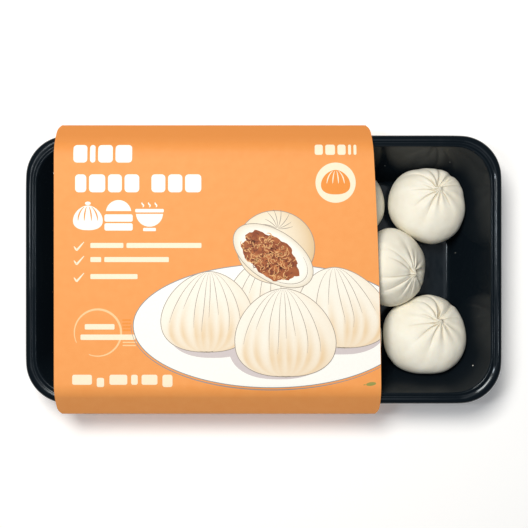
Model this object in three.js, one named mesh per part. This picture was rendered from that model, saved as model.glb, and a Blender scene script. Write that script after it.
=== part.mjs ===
// A chilled pack of pleated soup dumplings: a thermoformed black tray, twelve dumplings nested in it in
// three rows of four, and a printed card sleeve slid round the tray, off centre, so one end stays open.
// Millimetres, +Z up, X along the tray. The origin is under the middle of the tray, on the surface that
// the pack stands on.
import * as THREE from "three";

// ---- Driving dimensions ----

const TRAY_LENGTH = 250;
const TRAY_WIDTH = 141;
const TRAY_CORNER = 22; // plan radius of the rim's outer corners
const TRAY_CORNER_TAPER = 0.5; // how much that radius shrinks for each millimetre of inset
const TRAY_DEPTH = 38;
const TRAY_SKIN = 0.7; // wall thickness
const RIM_INNER = 6.4; // inset of the inner edge of the rim
const FLOOR_INSET = 22.4; // inset of the floor's edge
const FLOOR_FILLET = 1.6;
const LIP_DROP = 4; // the rim's outer lip turns down this far

const CARD = 0.5; // thickness of the sleeve
const GAP = 0.3; // clearance between pieces that rest on each other
const SLEEVE_LEFT = -108.6;
const SLEEVE_RIGHT = 59.6; // at the middle of the open end
const SLEEVE_SKEW = 0.0323; // the cut at the open end isn't quite square
const SLEEVE_BOW = 0.0002; // and bows a little
const SLEEVE_TOP = 45.3;
const SLEEVE_TOP_HALF = 63.6; // half width of the top panel, up to the soft shoulder
const SLEEVE_HALF = 76.9; // half width at the sharp side fold
const SLEEVE_FOLD_Z = 33.2;
const SLEEVE_BASE_HALF = 56;
const SHOULDER_R = 12.4;
const SIDE_FOLD_R = 2.2;
const BASE_FOLD_R = 1.5;
const SLEEVE_NICK = 2.5; // the cut ends are rounded off by this much at the side folds
const SLEEVE_NICK_RUN = 4; // over this much card on either side of the fold

const DOME = 0.65; // height of a dumpling above its equator, as a share of its radius
const BELLY = 0.72; // depth below its equator, before it settles
const FULLNESS = 2.25; // 2 is an ellipse, more is squarer
const SETTLE = 0.1; // share of the belly that flattens on the floor
const PEAK = 0.06; // the dough draws up towards the knot
const PEAK_SPREAD = 28; // degrees from the knot over which it does
const PRESS = 20; // how sharply a pressed patch ends: higher is sharper
const NEIGHBOUR_REACH = 52; // dumplings further apart than this never press on each other

const NUB_HEIGHT = 1.6; // the twist of dough at the knot stands this proud
const NUB_CROWN = 0.5; // its middle is this much higher than its edge
const NECK_DIP = 0.7; // the hollow round the twist
const FOLD_DEPTH = 1.25; // of a pleat's valley, at its deepest
const FOLD_CREST = 0.45; // of its crest, as a share of that
const FOLD_OVERLAP = 0.4; // where the crest lies between two valleys: 0.5 is the middle
const SWIRL_EVEN = 35; // degrees from the knot at which a fold has its own direction
const SWIRL_END = 60; // beyond this the folds run straight
// Degrees from the knot of each ring of corners, the nub's rim and neck first.
const RINGS = [6, 9.5, 16, 26, 38, 53, 72, 93, 116, 142];

const BLACK_PLASTIC = { color: 0x0b0e12, roughness: 0.18 };
const ORANGE_CARD = { color: 0xfcb06a, roughness: 0.55 };
const IVORY_DOUGH = { color: 0xf1ead6, roughness: 0.6 };

// ---- Placing: three rows of four, from the open end of the sleeve ----

const FAR_ROW = { x: 88.5, pitch: 42.9, y: 34.6 };
const MIDDLE_ROW = { x: 70, pitch: 43.7, y: 1.4 };
const NEAR_ROW = { x: 87.6, pitch: 43.2, y: -36.3 };
const PER_ROW = 4;
const WANDER = 0.8; // how far a hidden dumpling lies from its even place

// What sets the three that show apart: size, how the body leans, where the knot sits and where its folds
// run from it. Angles are in degrees: 0 is towards the open end of the sleeve and 90 towards the far side.
const SHOWN = {
  dumpling_01: {
    radius: 22.2,
    lean: 8,
    towards: 62,
    knot: 34,
    knotTowards: 62,
    swirl: -10,
    folds: [2, 24, 44, 68, 92, 118, 139, 160, 182, 214, 245, 272, 304, 334],
  },
  dumpling_05: {
    radius: 22.6,
    lean: 52,
    towards: 2,
    knot: 38,
    knotTowards: -18,
    swirl: 8,
    folds: [5, 58, 82, 106, 128, 148, 186, 210, 239, 264, 302],
  },
  dumpling_09: {
    radius: 23.3,
    lean: 16,
    towards: 56,
    knot: 38,
    knotTowards: 58,
    swirl: -12,
    folds: [2, 28, 52, 76, 100, 128, 150, 170, 188, 219, 248, 281, 311, 338],
  },
};

// ---- Small helpers ----

const radians = THREE.MathUtils.degToRad;

/** A repeatable number from 0 to 1 for a whole number, so that no two dumplings are alike. */
function chance(seed) {
  const wave = Math.sin(seed * 12.9898 + 4.1414) * 43758.5453;
  return wave - Math.floor(wave);
}

function between(low, high, seed) {
  return low + (high - low) * chance(seed);
}

/**
 * Joins rings of equally many corners, each anticlockwise and the lowest first, into one closed skin.
 * It is shut by a point at each end, or else its last ring joins its first.
 */
function skin(rings, ends) {
  const count = rings[0].length;
  const corners = rings.flat();
  const faces = [];
  const spans = ends ? rings.length - 1 : rings.length;
  for (let i = 0; i < spans; i++) {
    const next = (i + 1) % rings.length;
    for (let j = 0; j < count; j++) {
      const k = (j + 1) % count;
      const [a, b] = [i * count + j, i * count + k];
      const [c, d] = [next * count + k, next * count + j];
      faces.push(a, b, c, a, c, d);
    }
  }
  if (ends) {
    const first = corners.push(ends[0]) - 1;
    const last = corners.push(ends[1]) - 1;
    const top = (rings.length - 1) * count;
    for (let j = 0; j < count; j++) {
      const k = (j + 1) % count;
      faces.push(first, k, j, last, top + j, top + k);
    }
  }
  const geometry = new THREE.BufferGeometry().setFromPoints(corners);
  geometry.setIndex(faces);
  geometry.computeVertexNormals();
  return geometry;
}

function named(name, geometry, finish) {
  const mesh = new THREE.Mesh(geometry, new THREE.MeshStandardMaterial({ ...finish, metalness: 0 }));
  mesh.name = name;
  return mesh;
}

// ---- Tray ----

const TRAY_BASE = CARD + GAP;
const RIM_TOP = TRAY_BASE + TRAY_DEPTH;
const FLOOR_TOP = TRAY_BASE + TRAY_SKIN;

/** The tray's outline, drawn in by an inset, at a height: straight sides and round corners. */
function trayRing(inset, z) {
  const steps = 8;
  const radius = TRAY_CORNER - TRAY_CORNER_TAPER * inset;
  const x = TRAY_LENGTH / 2 - inset - radius;
  const y = TRAY_WIDTH / 2 - inset - radius;
  const ring = [];
  for (const [quarter, sx, sy] of [[0, 1, 1], [1, -1, 1], [2, -1, -1], [3, 1, -1]]) {
    for (let i = 0; i <= steps; i++) {
      const angle = ((quarter + i / steps) * Math.PI) / 2;
      const corner = new THREE.Vector3(sx * x, sy * y, z);
      ring.push(corner.add(new THREE.Vector3(radius * Math.cos(angle), radius * Math.sin(angle), 0)));
    }
  }
  return ring;
}

/** The formed section, [inset, height] from the floor's edge up the wall and over the rim's two beads. */
function traySection() {
  return [
    [FLOOR_INSET + FLOOR_FILLET, FLOOR_TOP],
    [FLOOR_INSET, FLOOR_TOP + 0.5],
    [FLOOR_INSET - 0.8, FLOOR_TOP + 1.7],
    [RIM_INNER, RIM_TOP - 1.2],
    [RIM_INNER - 0.5, RIM_TOP - 0.2],
    [5.2, RIM_TOP],
    [4.2, RIM_TOP - 0.7],
    [3.3, RIM_TOP - 0.1],
    [2.2, RIM_TOP],
    [0.8, RIM_TOP - 0.5],
    [0, RIM_TOP - 1.7],
    [0, RIM_TOP - LIP_DROP],
  ];
}

/** The section's underside: every corner moved out through the skin. */
function undersideOf(section) {
  return section.map((point, i) => {
    const before = section[Math.max(i - 1, 0)];
    const after = section[Math.min(i + 1, section.length - 1)];
    const along = new THREE.Vector2(after[0] - before[0], after[1] - before[1]).normalize();
    return [point[0] - along.y * TRAY_SKIN, point[1] + along.x * TRAY_SKIN];
  });
}

function makeTray() {
  const section = traySection();
  const path = [...undersideOf(section), ...section.reverse()];
  const rings = path.map(([distance, z]) => trayRing(distance, z));
  const ends = [new THREE.Vector3(0, 0, TRAY_BASE), new THREE.Vector3(0, 0, FLOOR_TOP)];
  return named("tray", skin(rings, ends), BLACK_PLASTIC);
}

// ---- Sleeve ----

/** Rounds one corner of an outline: the arc that touches both of its sides. */
function roundCorner(before, corner, after, radius, steps) {
  const to = before.clone().sub(corner).normalize();
  const from = after.clone().sub(corner).normalize();
  const half = Math.acos(to.dot(from)) / 2;
  const centre = to.clone().add(from).normalize().multiplyScalar(radius / Math.sin(half)).add(corner);
  const start = to.multiplyScalar(radius / Math.tan(half)).add(corner).sub(centre);
  const end = from.multiplyScalar(radius / Math.tan(half)).add(corner).sub(centre);
  const sweep = Math.atan2(start.cross(end), start.dot(end));
  return Array.from({ length: steps + 1 }, (_, i) => {
    return start.clone().rotateAround(new THREE.Vector2(), (sweep * i) / steps).add(centre);
  });
}

/** The sleeve's outer section in Y and Z, anticlockwise seen from the open end. */
function sleeveSection() {
  const corner = (y, z) => new THREE.Vector2(y, z);
  const [base, fold] = [corner(SLEEVE_BASE_HALF, 0), corner(SLEEVE_HALF, SLEEVE_FOLD_Z)];
  const [shoulder, middle] = [corner(SLEEVE_TOP_HALF, SLEEVE_TOP), corner(0, SLEEVE_TOP)];
  const beside = (other) => fold.clone().add(other.clone().sub(fold).setLength(SLEEVE_NICK_RUN));
  const side = [
    ...roundCorner(corner(0, 0), base, fold, BASE_FOLD_R, 3),
    beside(base),
    ...roundCorner(base, fold, shoulder, SIDE_FOLD_R, 4),
    beside(shoulder),
    ...roundCorner(fold, shoulder, middle, SHOULDER_R, 6),
  ];
  const mirrored = side.map((p) => corner(-p.x, p.y)).reverse();
  const flat = (from, to, steps) =>
    Array.from({ length: steps - 1 }, (_, i) => from.clone().lerp(to, (i + 1) / steps));
  const [top, bottom] = [flat(side.at(-1), mirrored[0], 8), flat(mirrored.at(-1), side[0], 6)];
  return [...side, ...top, ...mirrored, ...bottom];
}

/** An outline moved inwards by the card's thickness, corner by corner. */
function inset(loop, distance) {
  return loop.map((point, i) => {
    const before = point.clone().sub(loop.at(i - 1)).normalize();
    const after = loop[(i + 1) % loop.length].clone().sub(point).normalize();
    const inwards = new THREE.Vector2(-before.y - after.y, before.x + after.x);
    return point.clone().add(inwards.multiplyScalar(distance / (1 + before.dot(after))));
  });
}

/** How far the cut end is drawn in where the card is this close to its side fold. */
function nick(point) {
  const fold = new THREE.Vector2(SLEEVE_HALF, SLEEVE_FOLD_Z);
  const apart = fold.distanceTo(new THREE.Vector2(Math.abs(point.x), point.y));
  const share = Math.max(0, 1 - apart / SLEEVE_NICK_RUN);
  return SLEEVE_NICK * Math.sqrt(share);
}

function makeSleeve() {
  const outer = sleeveSection();
  const inner = inset(outer, CARD);
  const left = (p) => new THREE.Vector3(SLEEVE_LEFT + nick(p), p.x, p.y);
  const right = (p) => {
    const x = SLEEVE_RIGHT - SLEEVE_SKEW * p.x - SLEEVE_BOW * p.x * p.x - nick(p);
    return new THREE.Vector3(x, p.x, p.y);
  };
  const rings = [outer.map(left), outer.map(right), inner.map(right), inner.map(left)];
  return named("sleeve", skin(rings, null), ORANGE_CARD);
}

// ---- Dumplings ----

/** A unit vector that leans from upright by some degrees, towards a direction. */
function leaning(lean, towards) {
  const [a, b] = [radians(lean), radians(towards)];
  return new THREE.Vector3(Math.sin(a) * Math.cos(b), Math.sin(a) * Math.sin(b), Math.cos(a));
}

/** How far the unpressed dough reaches from the middle of a dumpling in a direction. */
function bodyReach(dumpling, direction) {
  const up = direction.dot(dumpling.axis);
  const across = Math.sqrt(Math.max(0, 1 - up * up));
  const height = dumpling.radius * (up > 0 ? DOME : BELLY);
  const sum = (across / dumpling.radius) ** FULLNESS + (Math.abs(up) / height) ** FULLNESS;
  return sum ** (-1 / FULLNESS);
}

/** The directions in which the folds of a dumpling run from its knot, unevenly spaced. */
function spreadFolds(seed) {
  const count = 12 + Math.floor(3 * chance(seed + 0.4));
  const step = 360 / count;
  return Array.from({ length: count }, (_, j) => step * (j + between(-0.25, 0.25, seed + 17 * j)));
}

/** A dumpling's size, lean, knot and folds, from its number alone. */
function anyDumpling(seed) {
  const towards = between(0, 360, seed + 0.3);
  const lean = between(4, 18, seed + 0.1);
  return {
    radius: between(21.2, 22.6, seed),
    lean,
    towards,
    knot: lean + between(2, 12, seed + 0.2),
    knotTowards: towards,
    swirl: between(-16, 16, seed + 0.5),
    folds: spreadFolds(seed),
  };
}

/** Where each dumpling sits, how it leans and how its folds run. */
function layOut() {
  const laid = [];
  [FAR_ROW, MIDDLE_ROW, NEAR_ROW].forEach((row, r) => {
    for (let i = 0; i < PER_ROW; i++) {
      const seed = r * PER_ROW + i + 1;
      const name = "dumpling_" + String(seed).padStart(2, "0");
      const own = { ...anyDumpling(seed), ...SHOWN[name] };
      const axis = leaning(own.lean, own.towards);
      const knotAxis = leaning(own.knot, own.knotTowards);
      const depth = own.radius * Math.hypot(Math.sin(radians(own.lean)), BELLY * axis.z);
      const wander = i === 0 ? 0 : WANDER;
      const x = row.x - i * row.pitch + between(-wander, wander, seed + 0.6);
      const y = row.y + between(-wander, wander, seed + 0.7);
      const centre = new THREE.Vector3(x, y, FLOOR_TOP + GAP + depth * (1 - SETTLE));
      laid.push({ ...own, name, seed, axis, knotAxis, centre });
    }
  });
  return laid;
}

/**
 * The tray's inside as flats that face into it: the floor, then three up each side and each corner.
 * Each is a point on the flat and its normal, pointing into the plastic.
 */
function trayFlats() {
  const flats = [{ point: new THREE.Vector3(0, 0, FLOOR_TOP), normal: new THREE.Vector3(0, 0, -1) }];
  const section = traySection().slice(0, 4);
  for (let eighth = 0; eighth < 8; eighth++) {
    const angle = (eighth * Math.PI) / 4;
    const outwards = new THREE.Vector3(Math.cos(angle), Math.sin(angle), 0);
    const reach = section.map(([distance]) => {
      return Math.max(...trayRing(distance, 0).map((corner) => corner.dot(outwards)));
    });
    for (let i = 1; i < section.length; i++) {
      const rise = section[i][1] - section[i - 1][1];
      const normal = outwards.clone().multiplyScalar(rise).setZ(reach[i - 1] - reach[i]).normalize();
      flats.push({ point: outwards.clone().multiplyScalar(reach[i]).setZ(section[i][1]), normal });
    }
  }
  return flats;
}

/** The planes that press on a dumpling, each as an outward normal and a distance from its middle. */
function pressedBy(dumpling, all) {
  const planes = trayFlats().map(({ point, normal }) => {
    return { normal, distance: point.sub(dumpling.centre).dot(normal) - GAP };
  });
  for (const other of all) {
    const apart = other.centre.distanceTo(dumpling.centre);
    if (other === dumpling || apart > NEIGHBOUR_REACH) continue;
    const normal = other.centre.clone().sub(dumpling.centre).normalize();
    const [mine, its] = [bodyReach(dumpling, normal), bodyReach(other, normal.clone().negate())];
    planes.push({ normal, distance: mine + (apart - GAP - mine - its) / 2 });
  }
  return planes;
}

/** How far a dumpling's skin is from its middle: the body, drawn up, folded, then pressed from outside. */
function skinReach(dumpling, planes, direction, fromKnot, fold) {
  const draw = Math.exp(-((fromKnot / PEAK_SPREAD) ** 2));
  const body = bodyReach(dumpling, direction) * (1 + PEAK * draw) + fold;
  let sum = body ** -PRESS;
  for (const { normal, distance } of planes) {
    const facing = direction.dot(normal);
    if (facing > 0) sum += (facing / distance) ** PRESS;
  }
  return sum ** (-1 / PRESS);
}

/** Depth of a fold's valley at some degrees from the knot: soon deep, then fading out at its reach. */
function foldDepth(degrees, reach) {
  const share = Math.min(1, degrees / reach);
  const start = Math.min(1, degrees / 14);
  return FOLD_DEPTH * start * (1 - share * share);
}

/** Each fold's valley and crest: their directions round the knot and how far from it they reach. */
function foldLines({ folds, seed }) {
  return folds.map((valley, j) => {
    const next = j + 1 < folds.length ? folds[j + 1] : folds[0] + 360;
    const crest = valley + (next - valley) * FOLD_OVERLAP;
    return { valley, crest, reach: between(48, 78, seed + 29 * j) };
  });
}

function makeDumpling(dumpling, all) {
  const planes = pressedBy(dumpling, all);
  const lines = foldLines(dumpling);
  const { knotAxis, centre } = dumpling;
  const side = new THREE.Vector3(0, 1, 0).cross(knotAxis).normalize();
  const across = knotAxis.clone().cross(side);
  const place = (degrees, turn, proud) => {
    const [a, b] = [radians(degrees), radians(turn)];
    const direction = knotAxis.clone().multiplyScalar(Math.cos(a));
    direction.addScaledVector(side, Math.sin(a) * Math.cos(b));
    direction.addScaledVector(across, Math.sin(a) * Math.sin(b));
    return direction.multiplyScalar(skinReach(dumpling, planes, direction, degrees, proud)).add(centre);
  };
  const rings = RINGS.map((degrees, i) => {
    const twist = dumpling.swirl * (Math.sqrt(Math.min(degrees, SWIRL_END) / SWIRL_EVEN) - 1);
    const twisted = [NUB_HEIGHT, -NECK_DIP][i] ?? 0;
    return lines.flatMap(({ valley, crest, reach }) => {
      const depth = i < 2 ? 0 : foldDepth(degrees, reach);
      return [
        place(degrees, valley + twist, twisted - depth),
        place(degrees, crest + twist, twisted + FOLD_CREST * depth),
      ];
    });
  });
  const ends = [place(180, 0, 0), place(0, 0, NUB_HEIGHT + NUB_CROWN)];
  return named(dumpling.name, skin(rings.reverse(), ends), IVORY_DOUGH);
}

// ---- The pack ----

const pack = new THREE.Group();
const dumplings = layOut();
pack.add(makeTray(), makeSleeve(), ...dumplings.map((dumpling) => makeDumpling(dumpling, dumplings)));

export default pack;
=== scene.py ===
# %% [markdown]
# # A chilled pack of soup dumplings
#
# Twelve pleated dumplings of wheat dough sit in a black formed tray. A printed card sleeve is slid round the
# tray, off centre, so three of the dumplings show at the open end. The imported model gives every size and
# place. This notebook makes the finish: soft pleated dough, glossy plastic, folded card and its inks.

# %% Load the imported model
import math
import random

import bpy
import numpy as np
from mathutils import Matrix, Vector, noise


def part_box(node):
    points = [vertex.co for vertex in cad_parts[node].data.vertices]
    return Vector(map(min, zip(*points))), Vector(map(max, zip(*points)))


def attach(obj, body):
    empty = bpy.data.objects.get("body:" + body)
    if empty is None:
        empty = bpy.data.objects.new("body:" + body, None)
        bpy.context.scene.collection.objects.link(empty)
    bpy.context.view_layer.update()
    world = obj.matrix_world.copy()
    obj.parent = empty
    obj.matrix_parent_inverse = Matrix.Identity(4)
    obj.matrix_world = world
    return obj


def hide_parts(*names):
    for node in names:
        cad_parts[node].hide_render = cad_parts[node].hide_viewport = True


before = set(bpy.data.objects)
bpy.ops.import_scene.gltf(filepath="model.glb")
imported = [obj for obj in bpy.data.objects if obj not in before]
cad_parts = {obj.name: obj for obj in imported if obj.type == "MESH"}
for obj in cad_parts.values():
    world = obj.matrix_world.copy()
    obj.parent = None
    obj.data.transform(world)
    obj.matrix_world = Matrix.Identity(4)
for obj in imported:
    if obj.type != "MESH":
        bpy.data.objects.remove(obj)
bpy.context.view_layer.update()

MM = 0.001
print("solids:", len(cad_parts))

# %% [markdown]
# ## Working by hand, in code
#
# An operator acts on all that is selected, so each step starts by clearing the selection. A copy of a solid
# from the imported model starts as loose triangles: its doubles are merged first, and its triangles joined
# into quads, so that it can be cut, bevelled and subdivided like any hand-made mesh.


# %% Helpers for objects
def only(piece):
    """Selects one object and nothing else."""
    bpy.ops.object.select_all(action="DESELECT")
    piece.select_set(True)
    bpy.context.view_layer.objects.active = piece


def select_faces(piece, wanted):
    """In edit mode, selects just the faces whose middle and normal pass a test."""
    bpy.ops.mesh.select_mode(type="FACE")
    bpy.ops.mesh.select_all(action="DESELECT")
    bpy.ops.object.mode_set(mode="OBJECT")
    for face in piece.data.polygons:
        face.select = wanted(face.center, face.normal)
    bpy.ops.object.mode_set(mode="EDIT")


def merged_copy(node, name):
    """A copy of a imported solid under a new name, its doubles merged and its triangles joined into quads."""
    piece = bpy.data.objects.new(name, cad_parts[node].data.copy())
    bpy.context.collection.objects.link(piece)
    piece.data.materials.clear()
    only(piece)
    bpy.ops.object.mode_set(mode="EDIT")
    bpy.ops.mesh.select_all(action="SELECT")
    bpy.ops.mesh.remove_doubles(threshold=0.001 * MM)
    bpy.ops.mesh.tris_convert_to_quads(face_threshold=math.radians(40), shape_threshold=math.radians(60))
    bpy.ops.object.mode_set(mode="OBJECT")
    return piece


def apply_modifier(piece, kind, **settings):
    """Adds a modifier with its settings and applies it."""
    only(piece)
    modifier = piece.modifiers.new(kind.title(), kind)
    for setting, value in settings.items():
        setattr(modifier, setting, value)
    bpy.ops.object.modifier_apply(modifier=modifier.name)


def subdivided(piece, levels):
    apply_modifier(piece, "SUBSURF", levels=levels, render_levels=levels)


def cut_across(point, normal, **options):
    """In edit mode, cuts every face along a plane."""
    bpy.ops.mesh.select_all(action="SELECT")
    bpy.ops.mesh.bisect(plane_co=point, plane_no=normal, **options)


print("packed triangles:", sum(len(solid.data.polygons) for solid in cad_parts.values()))

# %% [markdown]
# ## Materials, node by node
#
# Colours are written as the hex values that a screen shows. A shader works in linear light, so one function
# turns them. Patterns are sized in millimetres and read the object's own coordinates, so they keep their real
# scale and stay put on the piece from any side.


# %% Helpers for materials
def linear(colour):
    """The linear values of an sRGB hex colour."""
    shares = [int(colour[i:i + 2], 16) / 255 for i in (1, 3, 5)]
    return (*[c / 12.92 if c <= 0.04045 else ((c + 0.055) / 1.055) ** 2.4 for c in shares], 1)


def add_node(material, kind, settings={}, inputs={}):
    """Adds a shader node. An input takes a value, or another node's output, which it is linked to."""
    node = material.node_tree.nodes.new("ShaderNode" + kind)
    for setting, value in settings.items():
        setattr(node, setting, value)
    for socket, value in inputs.items():
        if isinstance(value, bpy.types.NodeSocket):
            material.node_tree.links.new(value, node.inputs[socket])
        else:
            node.inputs[socket].default_value = value
    return node


def new_material(name, **values):
    """A material, its principled shader with these values, and the object coordinates, in metres."""
    material = bpy.data.materials.new(name)
    material.use_nodes = True
    shader = material.node_tree.nodes["Principled BSDF"]
    for socket, value in values.items():
        shader.inputs[socket.replace("_", " ")].default_value = value
    place = add_node(material, "TexCoord").outputs["Object"]
    return material, shader, place


def per_mm(size):
    """The scale at which a pattern repeats about once in this many millimetres."""
    return 1 / (size * MM)


def mottled(material, place, size, detail, colours, between=(0, 1)):
    """A mottle of some size in mm: its strength, and two colours blended between two strengths."""
    mottle = add_node(material, "TexNoise", {}, {"Vector": place, "Scale": per_mm(size), "Detail": detail})
    tint = add_node(material, "ValToRGB", {}, {"Fac": mottle.outputs["Fac"]})
    for stop, strength, colour in zip(tint.color_ramp.elements, between, colours):
        stop.position = strength
        stop.color = linear(colour)
    return mottle.outputs["Fac"], tint.outputs["Color"]


print("linear value of a mid grey:", round(linear("#808080")[0], 3))

# %% [markdown]
# ## Dough
#
# The skin is wheat dough rolled thin, filled, and gathered into a knot by a hand that lays one pleat beside
# the next. Raw and chilled it is matt and a little see-through, so light goes in, spreads about a millimetre
# and comes back warm. Subsurface scattering gives that, where a plain diffuse white would look like plaster.
# Flour leaves a fine dry grain. The pleats' creases get painted shade: a darker colour is mixed in where an
# attribute on the mesh says the creases are.


# %% Wheat dough
def wheat_dough():
    material, shader, place = new_material(
        "wheat_dough", Roughness=0.62, IOR=1.42, Subsurface_Weight=0.18, Subsurface_Scale=1.0 * MM,
        Subsurface_Radius=(1.0, 0.82, 0.62), Specular_IOR_Level=0.35)
    tint = mottled(material, place, 9, 3.0, ("#F2ECDB", "#F8F4E6"), (0.35, 0.7))[1]
    # Painted shade: where the crease attribute is high, the dough is mixed towards a darker colour.
    crease = add_node(material, "Attribute", {"attribute_name": "crease"})
    crease_shade = add_node(material, "Math", {"operation": "MULTIPLY"}, {0: crease.outputs["Fac"], 1: 0.75})
    dough = add_node(material, "Mix", {"data_type": "RGBA", "blend_type": "MULTIPLY"},
                     {0: crease_shade.outputs[0], 6: tint, 7: linear("#B3A587")})
    material.node_tree.links.new(dough.outputs[2], shader.inputs["Base Color"])
    flour = add_node(material, "TexNoise", {}, {"Vector": place, "Scale": per_mm(0.7), "Detail": 4.0})
    skin = add_node(material, "TexNoise", {}, {"Vector": place, "Scale": per_mm(3.5), "Detail": 2.0})
    coarse = add_node(material, "Bump", {}, {"Height": skin.outputs["Fac"], "Strength": 0.35,
                                             "Distance": 0.25 * MM})
    fine = add_node(material, "Bump", {}, {"Height": flour.outputs["Fac"], "Strength": 0.4,
                                           "Distance": 0.08 * MM, "Normal": coarse.outputs["Normal"]})
    material.node_tree.links.new(fine.outputs["Normal"], shader.inputs["Normal"])
    return material


WHEAT_DOUGH = wheat_dough()
print("made", WHEAT_DOUGH.name)

# %% [markdown]
# ## Where the pleats run
#
# Each pleat is drawn as it is seen from above: the direction in which it leaves the knot, how far it
# reaches, how many degrees it swings on the way, how deep its crease is, and how high the dough laid over it
# stands, on its anticlockwise side if that is positive. Direction 0 is towards the open end of the sleeve and
# 90 towards the far side. The three dumplings that show have their pleats listed one by one. The rest get
# theirs from a seeded draw, because most of each is under the card.

# %% Pleats
SHARP = 0.36  # half width of a crease drawn tight, in mm
SOFT = 1.5  # and of one that has slackened

PLEATS = {
    "dumpling_01": [
        (182, 14.5, 2, 0.50, -0.22, SHARP), (163, 9.5, 6, 0.28, 0.14, SHARP),
        (152, 17.2, -26, 0.60, -0.65, SHARP), (120, 13.0, -22, 0.35, 0.42, SOFT),
        (215.7, 16.6, -6, 0.58, 0.26, SHARP), (245, 16.2, -5, 0.58, 0.26, SHARP),
        (270, 9.4, 0, 0.48, 0.22, SHARP), (305, 12.4, 3, 0.48, 0.26, SHARP),
        (336, 10.0, 4, 0.45, 0.25, SOFT), (12, 12.5, 4, 0.85, -0.55, SOFT),
        (44, 13.0, -6, 1.20, -0.65, SOFT), (84, 11.5, -8, 0.90, 0.50, SOFT),
    ],
    "dumpling_05": [
        (186, 20.5, 0, 0.56, 0.26, SHARP), (210.5, 19.0, -2, 0.60, 0.30, SHARP),
        (239, 14.0, -4, 0.56, 0.26, SHARP), (262, 11.5, 0, 0.50, 0.24, SHARP),
        (139, 20.6, -16, 0.62, -0.55, SHARP), (151, 17.0, -10, 0.38, 0.32, SHARP),
        (106, 15.6, -8, 0.55, 0.38, SHARP), (85, 9.0, -4, 0.55, 0.28, SHARP),
        (50, 6.5, 0, 1.00, 0.45, SOFT), (310, 8.5, 0, 0.95, -0.50, SOFT), (6, 5.0, 0, 1.60, 0.65, SOFT),
    ],
    "dumpling_09": [
        (188, 17.5, 4, 0.50, -0.20, SHARP), (219, 17.9, -5, 0.60, 0.28, SHARP),
        (248, 16.8, -6, 0.58, 0.26, SHARP), (281, 11.3, 2, 0.46, 0.22, SHARP),
        (311, 10.2, 4, 0.50, 0.26, SHARP), (338, 9.5, 4, 0.42, 0.24, SOFT),
        (8, 12.5, 4, 0.80, -0.50, SOFT), (45, 13.0, -6, 1.10, -0.60, SOFT),
        (86, 10.5, -10, 0.65, 0.35, SOFT), (120, 16.2, -32, 0.65, -0.72, SHARP),
        (136, 15.0, -24, 0.48, 0.36, SHARP), (160, 11.5, -10, 0.34, 0.20, SHARP),
    ],
}
SLUMP = {"dumpling_09": ((1.04, 1.01), (-0.4, 0.1))}  # how a belly has spread and sagged, in X and Y


def drawn_pleats(seed):
    """Pleats for a dumpling that is mostly out of sight, from a seeded draw."""
    draw = random.Random(seed)
    count = draw.randint(11, 14)
    swing = draw.uniform(-18, 18)
    step = 360 / count
    return [(step * (i + draw.uniform(-0.25, 0.25)), draw.uniform(9, 16), swing, draw.uniform(0.36, 0.52),
             draw.uniform(0.16, 0.34), SHARP) for i in range(count)]


print("pleats drawn by hand:", {name: len(pleats) for name, pleats in PLEATS.items()})

# %% [markdown]
# ## Shaping a dumpling
#
# A hand would gather a ball of dough. Here a UV sphere is turned so that its pole is the knot, and each of
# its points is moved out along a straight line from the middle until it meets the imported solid, which has
# been subdivided smooth. Its meridians then run just as pleats do, so creases stay sharp without a dense
# mesh everywhere. The pleats, the twist at the knot and a little unevenness are added along the normals.

# %% The smooth body
NEAR_KNOT = 1.22  # more than 1 gathers the rows towards the knot
KNOT_CAP = 18  # degrees from the knot in which the solid's own twist is smoothed away
KNOT_PROUD = 2.1 * MM  # how far the solid's twist stands out of its body
CAP_PASSES, ROUND_PASSES, DOWN_PASSES = 30, 14, 6  # how often reaches are averaged, so that facets fade


def eased(table, times, around):
    """Averages a table of reaches with its neighbours, round the columns or along the rows."""
    for _ in range(times):
        if around:
            table = (np.roll(table, 1, 1) + 2 * table + np.roll(table, -1, 1)) / 4
        else:
            table[1:-1] = (table[:-2] + 2 * table[1:-1] + table[2:]) / 4
    return table


def poles_of(cage):
    """The knot and the foot of a packed dumpling: its two busiest corners, the higher one first."""
    busy = [0] * len(cage.data.vertices)
    for edge in cage.data.edges:
        for corner in edge.vertices:
            busy[corner] += 1
    ends = sorted(range(len(busy)), key=busy.__getitem__)[-2:]
    return sorted((cage.data.vertices[i].co.copy() for i in ends), key=lambda co: -co.z)


def body_grid(node, columns, rows, swell):
    """The smooth body as rows of points from the knot down, with its axis and the columns' directions."""
    cage = merged_copy(node, "cage")
    knot, foot = poles_of(cage)
    subdivided(cage, 3)
    middle, axis = (knot + foot) / 2, (knot - foot).normalized()
    east = (Vector((1, 0, 0)) - axis * axis.x).normalized()
    north = axis.cross(east)
    down = math.pi * (np.arange(rows + 1) / rows) ** NEAR_KNOT
    turn = 2 * math.pi * np.arange(columns) / columns
    flat = np.cos(turn)[:, None] * np.array(east) + np.sin(turn)[:, None] * np.array(north)
    aim = np.cos(down)[:, None, None] * np.array(axis) + np.sin(down)[:, None, None] * flat[None]
    reach = np.array([[(cage.ray_cast(middle, Vector(a))[1] - middle).length for a in row] for row in aim])
    apex = (knot - middle).length - KNOT_PROUD
    cap = int(np.searchsorted(down, math.radians(KNOT_CAP)))
    edge = eased(reach[cap:cap + 1], CAP_PASSES, True)
    share = (down[:cap] / down[cap])[:, None] ** 2
    reach[:cap] = apex + (edge - apex) * share
    upper = np.cos(np.clip(down - math.pi / 2, 0, math.pi / 2))[:, None] ** 2
    reach = eased(eased(reach, ROUND_PASSES, True), DOWN_PASSES, False) + swell * upper
    bpy.data.objects.remove(cage)
    spread, sag = SLUMP.get(node, ((1, 1), (0, 0)))
    belly = np.sin(np.minimum(down, math.pi / 2))[:, None, None] ** 2
    offset = aim * reach[..., None]
    offset[..., :2] += belly * (offset[..., :2] * (np.array(spread) - 1) + np.array(sag) * MM)
    return np.array(middle) + offset, np.array(axis), turn


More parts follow.
